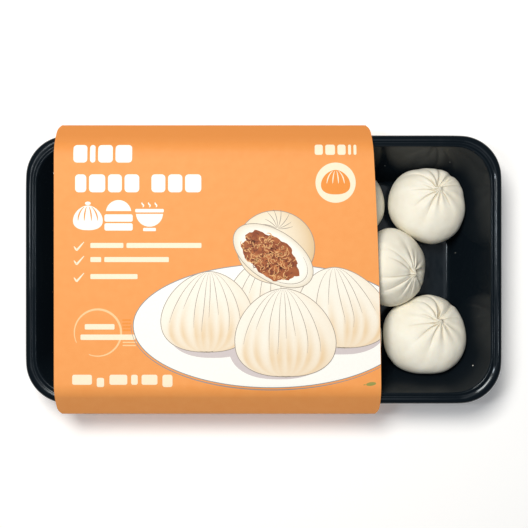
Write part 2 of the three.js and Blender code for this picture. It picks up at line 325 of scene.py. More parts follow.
# %% [markdown]
# ## Folding in the pleats
#
# A pleat is a thin crease in a wider hollow, with a soft roll of dough laid over one side. All three fade
# towards the pleat's end, close up at the knot, and turn with the twist that the last pinch gave it. They are
# worked out in millimetres along the skin, so a pleat looks the same on each dumpling.


# %% Pleats, knot and lumps
TWIST = math.radians(55)  # how far the last pinch turned the pleats at the knot
TWIST_FADES = 2.2  # and how soon that is lost, in mm along the skin
HOLLOW_WIDTH, ROLL_WIDTH = 2.1, 1.5  # in mm, far from the knot
CREASE_OPENS, HOLLOW_OPENS, ROLL_OPENS = 1.2, 4.5, 2.5  # mm from the knot where each has half its width
PINCHED = 1.1  # mm from the knot within which pleats are pressed shut
HOLLOW_SHARE = 0.75  # how deep the hollow is, against its crease
KNOT_HEIGHT, KNOT_WIDTH = 1.35, 1.5  # the nub of the knot, in mm
NECK_DEPTH, NECK_FROM_KNOT, NECK_WIDTH = 0.45, 3, 1.2  # the dip round it, in mm
UNEVENNESS = 0.22  # how lumpy the skin is, in mm
BIG_LUMP, SMALL_LUMP = 11 * MM, 4 * MM


def normals_of(grid, axis):
    """Which way the skin faces at each point of the grid."""
    along = np.gradient(grid, axis=0)
    around = np.roll(grid, -1, 1) - np.roll(grid, 1, 1)
    facing = np.cross(along, around)
    facing[0], facing[-1] = axis, -axis
    return facing / np.linalg.norm(facing, axis=2, keepdims=True)


def fold_in(pleat, grid, facing, axis, travel, turn):
    """One pleat, as how far it moves the skin and how much of a crease it leaves, at each point."""
    direction, reach, swing, depth, flap, width = pleat
    heading = np.array([math.cos(math.radians(direction)), math.sin(math.radians(direction))])
    end = grid[0, 0, :2] + reach * MM * heading
    apart = np.linalg.norm(grid[..., :2] - end, axis=2) + (facing[..., 2] < 0)
    row, column = np.unravel_index(apart.argmin(), apart.shape)
    length = travel[row, column]
    along = travel / length
    line = turn[column] + math.radians(swing) * (1 - along) + TWIST * np.exp(-travel / TWIST_FADES)
    off = (turn[None] - line + math.pi) % (2 * math.pi) - math.pi
    from_axis = np.linalg.norm(np.cross(grid - grid[0, 0], axis), axis=2) / MM
    aside = from_axis * off
    opening = 1 - np.exp(-travel / PINCHED)
    tight = width * travel / (travel + CREASE_OPENS)
    lasting = np.clip(1 - along, 0, 1) ** 0.7 * opening
    line_deep = np.exp(-(aside / tight) ** 2) * lasting
    wide = HOLLOW_WIDTH * travel / (travel + HOLLOW_OPENS)
    hollow = np.exp(-(aside / wide) ** 2) * np.clip(1 - (along / 1.5) ** 2, 0, 1) * opening
    round_roll = ROLL_WIDTH * travel / (travel + ROLL_OPENS) + 0.01
    laid = np.clip(aside * math.copysign(1, flap), 0, None) / round_roll
    roll = abs(flap) * laid * np.exp(1 - laid) * np.clip(1 - along, 0, 1) ** 0.8 * opening
    return roll - depth * (line_deep + HOLLOW_SHARE * hollow), line_deep * min(1, SHARP / width)


def pleated(grid, axis, turn, pleats):
    """The body with its pleats, its twisted knot and a little unevenness, and its creases from 0 to 1."""
    steps = np.linalg.norm(np.diff(grid, axis=0), axis=2) / MM
    travel = np.vstack([np.zeros((1, grid.shape[1])), np.cumsum(steps, axis=0)]) + 1e-6
    facing = normals_of(grid, axis)
    moved, creases = np.zeros(travel.shape), np.zeros(travel.shape)
    for pleat in pleats:
        shift, crease = fold_in(pleat, grid, facing, axis, travel, turn)
        moved += shift
        creases += crease
    moved += KNOT_HEIGHT * np.exp(-(travel / KNOT_WIDTH) ** 2)
    moved -= NECK_DEPTH * np.exp(-((travel - NECK_FROM_KNOT) / NECK_WIDTH) ** 2)
    uneven = [[noise.noise(Vector(p) / BIG_LUMP) + 0.4 * noise.noise(Vector(p) / SMALL_LUMP) for p in row]
              for row in grid]
    moved += UNEVENNESS * (np.array(uneven) - 0.5)
    return grid + facing * moved[..., None] * MM, np.clip(creases, 0, 1)


print("deepest crease in mm:", max(pleat[3] for pleats in PLEATS.values() for pleat in pleats))

# %% [markdown]
# ## The twelve dumplings
#
# Each one is a sphere whose points are put in the places that the last two steps found. The three that show
# are dense, to hold fine creases, and the ones under the card have a coarser mesh. The creases go into an
# attribute, which the dough reads to paint shade into them.


# %% Make the twelve
DENSE, SPARSE = (288, 110), (176, 72)  # columns and rows: the ones that show, and the rest
FULL, SLACK = 0.45 * MM, 0.25 * MM  # subdividing draws the skin in, so it is let out by this much


def make_dumpling(node, name, pleats, density, swell):
    columns, rows = density
    grid, axis, turn = body_grid(node, columns, rows, swell)
    grid, creases = pleated(grid, axis, turn, pleats)
    grid[..., 2] = np.maximum(grid[..., 2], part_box(node)[0].z)
    bpy.ops.object.select_all(action="DESELECT")
    bpy.ops.mesh.primitive_uv_sphere_add(segments=columns, ring_count=rows, radius=1)
    piece = bpy.context.object
    piece.name = name
    points = np.empty(len(piece.data.vertices) * 3)
    piece.data.vertices.foreach_get("co", points)
    x, y, z = points.reshape(-1, 3).T
    row = np.rint(np.arccos(np.clip(z, -1, 1)) / math.pi * rows).astype(int)
    column = np.rint(np.arctan2(y, x) / (2 * math.pi) * columns).astype(int) % columns
    piece.data.vertices.foreach_set("co", grid[row, column].ravel())
    crease = piece.data.attributes.new("crease", "FLOAT", "POINT")
    crease.data.foreach_set("value", creases[row, column])
    only(piece)
    bpy.ops.object.shade_smooth()
    piece.data.materials.append(WHEAT_DOUGH)
    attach(piece, "root")
    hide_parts(node)
    return piece


for number in range(1, 13):
    node = f"dumpling_{number:02d}"
    shown = node in PLEATS
    pleats = PLEATS[node] if shown else drawn_pleats(number)
    density, swell = (DENSE, FULL) if shown else (SPARSE, SLACK)
    piece = make_dumpling(node, f"pleated_{node}", pleats, density, swell)
    print(piece.name, "pleats:", len(pleats), "faces:", len(piece.data.polygons))

# %% [markdown]
# ## Tray
#
# The tray is drawn from one sheet of black polypropylene, heated and sucked into a mould, so every edge is
# rounded and the wall is one skin thick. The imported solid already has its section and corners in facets. A
# bevel would only chip its edges, so the copy is subdivided instead, after loops are cut close to each bend
# to hold the flats flat.

# %% Refine the tray
SHEET = 0.7 * MM  # how thick the plastic is
FOOT_BEND = 4.2 * MM  # how high the bend between floor and wall reaches
LIP = 3 * MM  # how deep the rolled lip is
HOLD = 1.6 * MM  # how near a bend its holding loop is cut
FLOOR_RING = 8 * MM  # a second loop, further in, keeps the floor flat


def refine_tray():
    low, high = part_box("tray")
    piece = merged_copy("tray", "formed_tray")
    bpy.ops.object.mode_set(mode="EDIT")
    for level, facing in ((low.z, -1), (low.z + SHEET, 1)):
        select_faces(piece, lambda c, n: abs(c.z - level) < 0.1 * MM and n.z * facing > 0.99)
        bpy.ops.mesh.dissolve_faces()
        bpy.ops.mesh.inset(thickness=HOLD, depth=0)
        bpy.ops.mesh.inset(thickness=FLOOR_RING, depth=0)
    for z in (low.z + FOOT_BEND, high.z - LIP - HOLD):
        cut_across((0, 0, z), (0, 0, 1))
    for x in range(-90, 91, 30):
        cut_across((x * MM, 0, 0), (1, 0, 0))
    for y in (-35, 0, 35):
        cut_across((0, y * MM, 0), (0, 1, 0))
    bpy.ops.object.mode_set(mode="OBJECT")
    subdivided(piece, 2)
    bpy.ops.object.shade_smooth()
    return piece


tray = refine_tray()
print(tray.name, "faces:", len(tray.data.polygons))

# %% [markdown]
# ## Black polypropylene
#
# The sheet is coloured right through, so it shows no wear, only its shine: a mirror on a skin that follows
# the mould with a slight waviness, like orange peel, and is a little duller where it was handled. The
# roughness varies over a few millimetres for that.


# %% Black polypropylene
def black_polypropylene():
    material, shader, place = new_material(
        "black_polypropylene", Base_Color=linear("#10171D"), IOR=1.49, Specular_IOR_Level=0.2,
        Specular_Tint=linear("#F2FAFF"))
    handled = add_node(material, "TexNoise", {}, {"Vector": place, "Scale": per_mm(14), "Detail": 5.0})
    dull = add_node(material, "MapRange", {}, {"Value": handled.outputs["Fac"], "From Min": 0.35,
                                               "From Max": 0.75, "To Min": 0.10, "To Max": 0.24})
    material.node_tree.links.new(dull.outputs["Result"], shader.inputs["Roughness"])
    wavy = add_node(material, "TexNoise", {}, {"Vector": place, "Scale": per_mm(6), "Detail": 1.0})
    peel = add_node(material, "Bump", {}, {"Height": wavy.outputs["Fac"], "Strength": 0.5,
                                           "Distance": 0.12 * MM})
    material.node_tree.links.new(peel.outputs["Normal"], shader.inputs["Normal"])
    return material


tray.data.materials.append(black_polypropylene())
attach(tray, "root")
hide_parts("tray")
print("made black_polypropylene")

# %% [markdown]
# ## Flour
#
# A little flour falls off the dumplings as they are laid in the tray. Each speck is a grain big enough to
# see, half sunk in the place where a straight line down from above meets the plastic.


# %% Flour on the tray
ABOVE = 100 * MM  # a height clear above the pack, from which lines are cast down at it


def wheat_flour():
    material, shader, place = new_material("wheat_flour", Roughness=0.9, IOR=1.4)
    tint = mottled(material, place, 0.2, 2.0, ("#D9D4C6", "#FFFDF5"))[1]
    material.node_tree.links.new(tint, shader.inputs["Base Color"])
    return material


def flour_specks(places):
    """Grains of flour, joined as one piece. Each is given by X, Y and radius in mm."""
    grains = []
    for x, y, radius in places:
        place = tray.ray_cast((x * MM, y * MM, ABOVE), (0, 0, -1))[1]
        bpy.ops.mesh.primitive_ico_sphere_add(subdivisions=1, radius=radius * MM, location=place)
        grains.append(bpy.context.object)
    only(grains[0])
    for grain in grains:
        grain.select_set(True)
    bpy.ops.object.join()
    bpy.ops.object.transform_apply(location=True)
    piece = bpy.context.object
    piece.name = "flour_specks"
    piece.data.materials.append(wheat_flour())
    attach(piece, "root")
    return piece


scatter = random.Random(11)
fallen = [(111.6, -51.3, 0.38), (-111.9, 51.3, 0.38), (92, 52, 0.2), (105.5, 9, 0.16)]
fallen += [(scatter.uniform(64, 100), scatter.uniform(-58, 58), scatter.uniform(0.08, 0.16))
           for _ in range(16)]
specks = flour_specks(fallen)
print(specks.name, "grains:", len(fallen))

# %% [markdown]
# ## Sleeve
#
# The sleeve is folding box board: printed outside, bare inside, cut at both ends and glued into a band. Its
# shoulders are bent round, not scored, and its side folds are scored sharp. The copy is cut near the ends and
# subdivided, with the cut edges creased so that the board keeps its square edge.

# %% Refine the sleeve
PRINTED, BARE, CUT = 0, 1, 2  # material slots of the board's faces
FROM_COVERED_END, FROM_OPEN_END = 4 * MM, 10 * MM  # where the first and last cuts across the sleeve are
SPANS = 6  # and how many spans lie between them


def refine_sleeve():
    low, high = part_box("sleeve")
    piece = merged_copy("sleeve", "card_sleeve")
    bpy.ops.object.mode_set(mode="EDIT")
    first, last = low.x + FROM_COVERED_END, high.x - FROM_OPEN_END
    for i in range(SPANS + 1):
        cut_across((first + (last - first) * i / SPANS, 0, 0), (1, 0, 0))
    bpy.ops.object.mode_set(mode="OBJECT")
    mesh = piece.data
    inside = Vector((0, 0, (low.z + high.z) / 2))
    at_cut = {}
    for face in mesh.polygons:
        outwards = face.center - inside
        outwards.x = 0
        cut = abs(face.normal.x) > 0.3
        face.material_index = CUT if cut else PRINTED if face.normal.dot(outwards) > 0 else BARE
        for edge in face.edge_keys:
            at_cut.setdefault(edge, set()).add(cut)
    sharp = mesh.attributes.new("crease_edge", "FLOAT", "EDGE")
    for edge in mesh.edges:
        sharp.data[edge.index].value = float(len(at_cut[edge.key]) == 2)
    subdivided(piece, 2)
    bpy.ops.object.shade_smooth_by_angle(angle=math.radians(35))
    return piece


sleeve = refine_sleeve()
print(sleeve.name, "faces:", len(sleeve.data.polygons))

# %% [markdown]
# ## Board and its orange
#
# The board is pressed from fibres that show as a faint tooth under the ink. Its orange is an even coat, with
# painted shade over the far shoulder, where the board bends away. The side folds are scored, and there the
# ink cracked as the board was bent, so that pale board shows in a broken line. The cut ends and the inside
# are bare.


# %% Board and its orange
FOLD_REACH = 0.9 * MM  # how far from a fold the ink has cracked
SHOULDER_STARTS, SHOULDER_ENDS = 56 * MM, 70 * MM  # between these, the far shoulder is painted darker, as painted shade


def fold_wear(material, place, parts):
    """How worn the ink is, from 0 to 1: most at the scored folds, where bending the board cracked it."""
    corners = [v.co for v in sleeve.data.vertices]
    lowest = [co for co in corners if co.z < 0.2 * MM]
    folds = [max(part, key=lambda co: co.y) for part in (corners, lowest)]
    half = add_node(material, "Math", {"operation": "ABSOLUTE"}, {0: parts.outputs["Y"]})
    section = add_node(material, "CombineXYZ", {}, {"Y": half.outputs[0], "Z": parts.outputs["Z"]})
    apart = [add_node(material, "VectorMath", {"operation": "DISTANCE"},
                      {0: section.outputs[0], 1: (0, fold.y, fold.z)}).outputs["Value"] for fold in folds]
    nearest = add_node(material, "Math", {"operation": "MINIMUM"}, {0: apart[0], 1: apart[1]})
    near = add_node(material, "MapRange", {}, {"Value": nearest.outputs[0], "From Max": FOLD_REACH,
                                               "To Min": 1.0, "To Max": 0.0})
    patchy = add_node(material, "TexNoise", {}, {"Vector": place, "Scale": per_mm(2.5), "Detail": 5.0})
    flaked = add_node(material, "MapRange", {}, {"Value": patchy.outputs["Fac"], "From Min": 0.42,
                                                 "From Max": 0.62, "To Max": 0.7})
    worn = add_node(material, "Math", {"operation": "MULTIPLY"}, {0: near.outputs[0], 1: flaked.outputs[0]})
    return worn.outputs[0]


def board_tooth(material, shader, place):
    """The fibres of the board, felt through the ink."""
    fibre = add_node(material, "TexNoise", {}, {"Vector": place, "Scale": per_mm(0.9), "Detail": 5.0})
    bump = add_node(material, "Bump", {}, {"Height": fibre.outputs["Fac"], "Strength": 0.12,
                                           "Distance": 0.05 * MM})
    material.node_tree.links.new(bump.outputs["Normal"], shader.inputs["Normal"])


def printed_board():
    material, shader, place = new_material("orange_ink_on_board", IOR=1.5, Roughness=0.55,
                                           Specular_IOR_Level=0.2)
    orange = mottled(material, place, 5, 6.0, ("#F5A056", "#F7A55C"), (0.3, 0.75))[1]
    parts = add_node(material, "SeparateXYZ", {}, {"Vector": place})
    # Painted shade: towards the far shoulder the orange is mixed with a darker one.
    shoulder_shade = add_node(material, "MapRange", {}, {"Value": parts.outputs["Y"], "From Min": SHOULDER_STARTS,
                                                 "From Max": SHOULDER_ENDS, "To Max": 0.85})
    shoulder = add_node(material, "Mix", {"data_type": "RGBA"},
                        {0: shoulder_shade.outputs[0], 6: orange, 7: linear("#E08C42")})
    worn = add_node(material, "Mix", {"data_type": "RGBA"},
                    {0: fold_wear(material, place, parts), 6: shoulder.outputs[2], 7: linear("#F8DDBB")})
    material.node_tree.links.new(worn.outputs[2], shader.inputs["Base Color"])
    board_tooth(material, shader, place)
    return material


def bare_board(name, light, dark, fibre_mm):
    material, shader, place = new_material(name, IOR=1.45, Roughness=0.85)
    fibre, tint = mottled(material, place, fibre_mm, 6.0, (dark, light), (0.3, 0.7))
    material.node_tree.links.new(tint, shader.inputs["Base Color"])
    bump = add_node(material, "Bump", {}, {"Height": fibre, "Strength": 0.3, "Distance": 0.06 * MM})
    material.node_tree.links.new(bump.outputs["Normal"], shader.inputs["Normal"])
    return material


cut_edge = bare_board("cut_board_edge", "#F6E3C4", "#E8CBA0", 0.5)
sleeve.data.materials.append(printed_board())
sleeve.data.materials.append(bare_board("grey_board_back", "#D8D2C6", "#C9C2B4", 1.2))
sleeve.data.materials.append(cut_edge)
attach(sleeve, "root")
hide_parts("sleeve")
print("materials on the sleeve:", len(sleeve.data.materials))

# %% [markdown]
# ## Print
#
# A card like this is printed one ink at a time, and each ink lies on the one before. The print could be an
# image wrapped on the card, but then it would blur close up. Here each ink is a mesh a hundredth of a
# millimetre thick, cut to its shapes and draped over the card, so edges stay clean at any distance. Words are
# plain bars and tiles, and the seal is a plain round badge. Outlines are in millimetres across the top panel.

# %% Shapes to print
def rounded_bar(left, right, bottom, top, radius):
    """A bar with rounded corners, as one face."""
    radius = min(radius, (right - left) / 2, (top - bottom) / 2)
    outline = []
    for quarter, (x, y) in enumerate(((right, top), (left, top), (left, bottom), (right, bottom))):
        cx = x + (-radius if x == right else radius)
        cy = y + (-radius if y == top else radius)
        for i in range(6):
            angle = math.radians(90 * quarter + 18 * i)
            outline.append((cx + radius * math.cos(angle), cy + radius * math.sin(angle)))
    return outline, [list(range(len(outline)))]


def oval(x, y, half_width, half_height, tilt=0, ripple=lambda angle: 1, steps=96):
    """An oval as one face. A ripple makes its edge uneven."""
    outline = []
    for i in range(steps):
        angle = 2 * math.pi * i / steps
        a, b = half_width * math.cos(angle) * ripple(angle), half_height * math.sin(angle) * ripple(angle)
        c, s = math.cos(math.radians(tilt)), math.sin(math.radians(tilt))
        outline.append((x + a * c - b * s, y + a * s + b * c))
    return outline, [list(range(steps))]


def stroke(path, width, closed=False):
    """A line of some width along a path, thinner towards its ends unless it is closed."""
    points, faces = [], []
    count = len(path)
    for i, (x, y) in enumerate(path):
        before = path[i - 1] if i or closed else path[0]
        after = path[(i + 1) % count] if i < count - 1 or closed else path[-1]
        dx, dy = after[0] - before[0], after[1] - before[1]
        size = math.hypot(dx, dy) or 1
        taper = 1 if closed else 0.35 + 0.65 * math.sin(math.pi * i / (count - 1))
        half = width * taper / 2
        points += [(x - dy / size * half, y + dx / size * half), (x + dy / size * half, y - dx / size * half)]
    for i in range(count if closed else count - 1):
        j = (i + 1) % count
        faces.append([2 * i, 2 * i + 1, 2 * j + 1, 2 * j])
    return points, faces


def arc(x, y, radius, start, end, steps=48):
    """A path along part of a circle."""
    angles = [math.radians(start + (end - start) * i / steps) for i in range(steps + 1)]
    return [(x + radius * math.cos(a), y + radius * math.sin(a)) for a in angles]


def words(left, bottom, top, widths, gap):
    """A line of words, as a row of bars."""
    bars, x = [], left
    for width in widths:
        bars.append(rounded_bar(x, x + width, bottom, top, 0.2 * (top - bottom)))
        x += width + gap
    return bars


print("corners of a bar:", len(rounded_bar(0, 8, 0, 2, 0.5)[0]))

# %% [markdown]
# ## Printing ink
#
# Offset ink dries to a thin satin film: it shines a little more than bare board and still shows its tooth. It
# lies slightly unevenly, which gives a faint speckle. A wash is a second ink in dots too fine to see, so here
# it is a plain mix of two colours, as strong as an attribute on the mesh says.


# %% Inks
def ink(name, colour, wash=None):
    """An ink on board. A wash is a second colour, laid as strongly as the mesh's attribute says."""
    material, shader, place = new_material(name, IOR=1.5, Roughness=0.45, Specular_IOR_Level=0.2)
    speck = add_node(material, "TexNoise", {}, {"Vector": place, "Scale": per_mm(1.1), "Detail": 4.0})
    amount = add_node(material, "MapRange", {}, {"Value": speck.outputs["Fac"], "From Min": 0.35,
                                                 "From Max": 0.8, "To Min": 0.0, "To Max": 0.35})
    plain = add_node(material, "Mix", {"data_type": "RGBA"}, {
        0: amount.outputs["Result"], 6: linear(colour), 7: tuple(0.9 * c for c in linear(colour)[:3]) + (1,)})
    top = plain.outputs[2]
    if wash:
        strength = add_node(material, "Attribute", {"attribute_name": "wash"})
        top = add_node(material, "Mix", {"data_type": "RGBA"},
                       {0: strength.outputs["Fac"], 6: top, 7: linear(wash)}).outputs[2]
    material.node_tree.links.new(top, shader.inputs["Base Color"])
    board_tooth(material, shader, place)
    return material


WHITE_INK = ink("white_ink", "#FFFDF4")
CREAM_INK = ink("cream_ink", "#FFEFD2")
PALE_INK = ink("pale_orange_ink", "#FDCF98")
AMBER_INK = ink("amber_ink", "#F3953A")
LEAF_INK = ink("leaf_green_ink", "#9A9A52")
print("made", WHITE_INK.name, CREAM_INK.name, PALE_INK.name, AMBER_INK.name, LEAF_INK.name)

# %% [markdown]
# ## Laying an ink on the card
#
# An ink starts as flat shapes. They are cut wherever the card bends, so that they can follow it, and along
# the card's open end, whose gentle curve is followed by straight cuts. Each point then goes to the card
# straight below it, and the film gets its thickness. Later inks lie a little higher than earlier ones.


# %% Lay an ink
BEND_STARTS = 57.0  # how far from the middle of the panel the card starts to bend, in mm
BEND_STEP = 1.2  # ink that lies on the bend is cut this finely, to follow it
INK_FILM = 0.01 * MM
INK_STEP = 0.016 * MM  # how much higher each ink lies than the one below
CARD_ENDS = 56 * MM  # ink that reaches further than this is cut along the card's open end
CUTS_AT = [y * MM for y in (-56, -40, -24, -8, 8, 24)]  # where the cuts touch the end's curve
BARE_MARGIN = 0.15 * MM  # ink stops this far short of the cut end
FINE_CUT = 0.001 * MM  # a point nearer to a cut than this counts as on it


def on_card(y):
    """Where the card's outside is at some distance across it, and which way it faces there."""
    return sleeve.ray_cast((0, y, ABOVE), (0, 0, -1))[1:3]


def open_end(y):
    """Where the card's cut end is, at some distance across it."""
    under_skin = sleeve.bound_box[1][2] - 0.25 * MM
    return sleeve.ray_cast((100 * MM, y, under_skin), (-1, 0, 0))[1]


def lay_ink(name, shapes, layer, material, washes=None):
    """Prints shapes in one ink: cuts them at the open end and the bends, drapes them, gives them a skin."""
    points, faces = [], []
    for outline, own in shapes:
        faces += [[len(points) + i for i in face] for face in own]
        points += [(x * MM, y * MM, 0) for x, y in outline]
    mesh = bpy.data.meshes.new(name)
    mesh.from_pydata(points, [], faces)
    piece = bpy.data.objects.new(name, mesh)
    bpy.context.collection.objects.link(piece)
    if washes:
        mesh.attributes.new("wash", "FLOAT", "POINT").data.foreach_set("value", washes)
    only(piece)
    bpy.ops.object.mode_set(mode="EDIT")
    bpy.ops.mesh.select_all(action="SELECT")
    bpy.ops.mesh.remove_doubles(threshold=0.002 * MM)
    if max(x for x, _, _ in points) > CARD_ENDS:
        for y in CUTS_AT:
            along = (open_end(y + 4 * MM) - open_end(y - 4 * MM)).normalized()
            inside = open_end(y) - Vector((BARE_MARGIN, 0, 0))
            cut_across(inside, (along.y, -along.x, 0), clear_outer=True, threshold=FINE_CUT)
    reach = max(abs(y) for _, y, _ in points) / MM
    bend = BEND_STARTS
    while bend < reach:
        for side in (-1, 1):
            cut_across((0, side * bend * MM, 0), (0, 1, 0), threshold=FINE_CUT)
        bend += BEND_STEP
    bpy.ops.object.mode_set(mode="OBJECT")
    for face in mesh.polygons:
        if face.normal.z < 0:
            face.flip()
    for vertex in mesh.vertices:
        place, facing = on_card(vertex.co.y)
        x = vertex.co.x
        vertex.co = place + facing * (INK_STEP * layer)
        vertex.co.x = x
    apply_modifier(piece, "SOLIDIFY", thickness=INK_FILM, offset=1)
    mesh.materials.append(material)
    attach(piece, "root")


print("open end at the middle, in mm:", round(open_end(0).x / MM, 1))

# %% [markdown]
# ## Words and marks
#
# Nothing on the card can be read. A word is a bar or a row of tiles as long as a word would be there, and the
# seal, the ticks and the stripes are plain shapes. Each group is one piece, in one ink.


# %% Words, ticks and stripes
title = words(-98.5, 55.4, 64.6, [7.2, 2.8, 7.6, 8.6], 1.4)
title += words(-97.6, 40.0, 49.3, [5.8, 8.4, 7.2, 7.6], 1.4) + words(-58.1, 40.0, 49.3, [7.2, 7.4, 8.4], 1.4)
lay_ink("print_title", title, 1, WHITE_INK)


def tick(x, y):
    corners = [(-2.6, 0.1), (-1.2, -1.9), (2.6, 2.4)]
    path = []
    for (ax, ay), (bx, by) in zip(corners, corners[1:]):
        path += [(x + ax + (bx - ax) * i / 6, y + ay + (by - ay) * i / 6) for i in range(6)]
    return stroke(path + [(x + 2.6, y + 2.4)], 1.0)


small = []
for y, lengths in ((12.5, [17.1, 38.8]), (5.2, [5.6, 33.4]), (-3.6, [24.4])):
    small += words(-89.7, y - 1.3, y + 1.3, lengths, 1.6) + [tick(-95.6, y - 0.6)]
small += words(-99.1, -59.6, -54.4, [10.2], 1) + words(-86.4, -60.8, -56.0, [3.8], 1)
small += words(-79.8, -59.6, -54.4, [9.2, 3.4, 8.2], 2.0) + words(-52.4, -60.8, -54.4, [5.2], 1.2)
small += words(26.4, 59.4, 64.8, [4.2, 5.0, 4.2, 1.5, 1.5], 1.3)
lay_ink("print_small_words", small, 1, CREAM_INK)

stamp = [stroke(arc(-85.9, -32.7, 12.1, -112, 205, 72), 1.15)]
stamp += [rounded_bar(-73.0, -66.2, -39.6, -38.9, 0.3), rounded_bar(-73.0, -65.6, -38.0, -37.3, 0.3)]
lay_ink("print_stamp_ring", stamp, 1, PALE_INK)
stamp_words = words(-92.6, -31.0, -28.2, [15.4], 1) + words(-94.8, -36.4, -33.6, [28.4], 1)
lay_ink("print_stamp_words", stamp_words, 2, CREAM_INK)
stripes = [rounded_bar(-73.2, -68.6, -26.6 - 1.75 * i, -25.7 - 1.75 * i, 0.4) for i in range(4)]
lay_ink("print_stripes", stripes, 1, AMBER_INK)
leaf = [oval(55.6, -59.2, 2.6, 0.95, 8), stroke([(51.6, -59.7), (52.2, -59.6), (52.9, -59.5)], 0.5)]
lay_ink("print_leaf", leaf, 1, LEAF_INK)
print("printed the words and marks")

# %% [markdown]
# ## The drawing on the card
#
# The drawing shows four pleated buns on a white plate, and a fifth, bitten, on top of them. Each bun is laid
# out like a globe seen from the side: meridians run from the knot to the foot, and rows go down. That one
# grid gives the fill, a line for each pleat along a meridian, and a wash of shade that follows the pleats.

# %% Buns in ink
FILL_INK = ink("cream_fill_ink", "#FCF6E8", wash="#EBCCA0")
SKIN_INK = ink("beige_fill_ink", "#FBF2DE", wash="#E0BC86")
LINE_INK = ink("brown_line_ink", "#A0958A")
RIM_INK = ink("grey_line_ink", "#8F9499")
SHADOW_INK = ink("lilac_shadow_ink", "#D6CBCB")
PLATE_INK = ink("plate_white_ink", "#FFFEF8")
OUTLINE, PLEAT_LINE = 0.34, 0.3  # how wide the drawn lines are, in mm


class DrawnBun:
    """A bun in the drawing: its knot, its foot and its width in mm, and the meridians of its pleats."""

    def __init__(self, knot, foot, half_width, pleats):
        self.knot, self.foot, self.half_width, self.pleats = knot, foot, half_width, pleats

    def at(self, across, down):
        """The point on meridian -1 to 1, down from the knot at 0 to the foot at 1."""
        belly = 0.6
        if down < belly:
            wide = (1 - (1 - down / belly) ** 1.8) ** (1 / 1.8)
        else:
            wide = (1 - ((down - belly) / (1 - belly)) ** 2.4) ** (1 / 2.4)
        middle = self.knot[0] + (self.foot[0] - self.knot[0]) * min(1, 1.6 * down)
        scallop = 0.35 * math.sin(17 * across + self.half_width) * max(0, down - 0.9) * 10
        return (middle + across * wide * self.half_width,
                self.knot[1] + (self.foot[1] - self.knot[1]) * down + scallop * (1 - across ** 2))

    def pleat(self, i, down):
        """The meridian that a pleat's line is on, as it wanders on its way down."""
        across = self.pleats[i]
        return across * (0.82 + 0.3 * down) + 0.035 * math.sin(5 * down + 2.1 * i) * down

    def fill(self):
        """Its faces, and how strong the wash is at each point."""
        columns, rows = 60, 34
        points, faces, washes = [], [], []
        for j in range(rows + 1):
            down = 0.5 - 0.5 * math.cos(math.pi * j / rows)
            low = max(0, min(1, (down - 0.3) / 0.4)) * max(0, min(1, (1.0 - down) / 0.2))
            for i in range(columns + 1):
                across = -math.cos(math.pi * i / columns)
                points.append(self.at(across, down))
                streak = 0
                for k in range(len(self.pleats)):
                    off = across - self.pleat(k, down) - 0.03
                    streak += math.exp(-(off / (0.045 if off < 0 else 0.10)) ** 2)
                foot = max(0, (down - 0.55) / 0.45) ** 1.5
                washes.append(min(1, 0.62 * streak * low + 0.55 * foot + 0.25 * max(0, across) ** 3))
        for j in range(rows):
            for i in range(columns):
                a = j * (columns + 1) + i
                faces.append([a, a + columns + 1, a + columns + 2, a + 1])
        return (points, faces), washes

    def edge(self):
        """Its outline, as a closed path from the knot down one side and up the other."""
        downs = [0.5 - 0.5 * math.cos(math.pi * j / 40) for j in range(41)]
        return [self.at(-1, d) for d in downs] + [self.at(1, d) for d in reversed(downs[1:-1])]

    def silhouette(self, dx=0, dy=0):
        """Its outline as one face, moved aside if it is a shadow."""
        outline = [(x + dx, y + dy) for x, y in self.edge()]
        return outline, [list(range(len(outline)))]

    def lines(self):
        """A line for each pleat and one round the outside."""
        drawn = [stroke(self.edge(), OUTLINE, closed=True)]
        for i in range(len(self.pleats)):
            length = 0.4 + 0.34 * abs(math.sin(2.3 * i + 0.7))
            downs = [0.015 + length * j / 16 for j in range(17)]
            drawn.append(stroke([self.at(self.pleat(i, d), d) for d in downs], PLEAT_LINE))
        return drawn

    def draw(self, name, layer):
        shape, washes = self.fill()
        lay_ink(f"print_{name}_fill", [shape], layer, FILL_INK, washes)
        lay_ink(f"print_{name}_lines", self.lines(), layer + 1, LINE_INK)


LEFT_BUN = DrawnBun((-28.1, -1.0), (-29.4, -42.7), 23.9, [-0.8, -0.55, -0.3, -0.1, 0.06, 0.24, 0.48, 0.74])
BACK_BUN = DrawnBun((4.0, 6.5), (3.0, -34.0), 22.5, [-0.75, -0.5, -0.25, 0, 0.3])
RIGHT_BUN = DrawnBun((36.6, 1.2), (42.0, -40.5), 24.0, [-0.62, -0.3, -0.02, 0.2, 0.42, 0.7])
FRONT_BUN = DrawnBun((10.2, -9.8), (11.3, -55.4), 26.2, [-0.82, -0.6, -0.34, -0.14, 0.04, 0.2, 0.44, 0.7])


def ring_fill(x, y, half_width, half_height, tilt, shade, ripple=lambda angle: 1, rings=16):
    """An oval in rings of faces, with a wash that a function of the share across and up gives."""
    points, faces, washes = [(x, y)], [], [shade(0, 0)]
    steps = 72
    for j in range(1, rings + 1):
        share = j / rings
        points += oval(x, y, half_width * share, half_height * share, tilt, ripple, steps)[0]
        for i in range(steps):
            angle = 2 * math.pi * i / steps + math.radians(tilt)
            washes.append(max(0, min(1, shade(share * math.cos(angle), share * math.sin(angle)))))
    faces += [[0, 1 + i, 1 + (i + 1) % steps] for i in range(steps)]
    for j in range(rings - 1):
        for i in range(steps):
            a, b = 1 + j * steps + i, 1 + j * steps + (i + 1) % steps
            faces.append([a, a + steps, b + steps, b])
    return (points, faces), washes


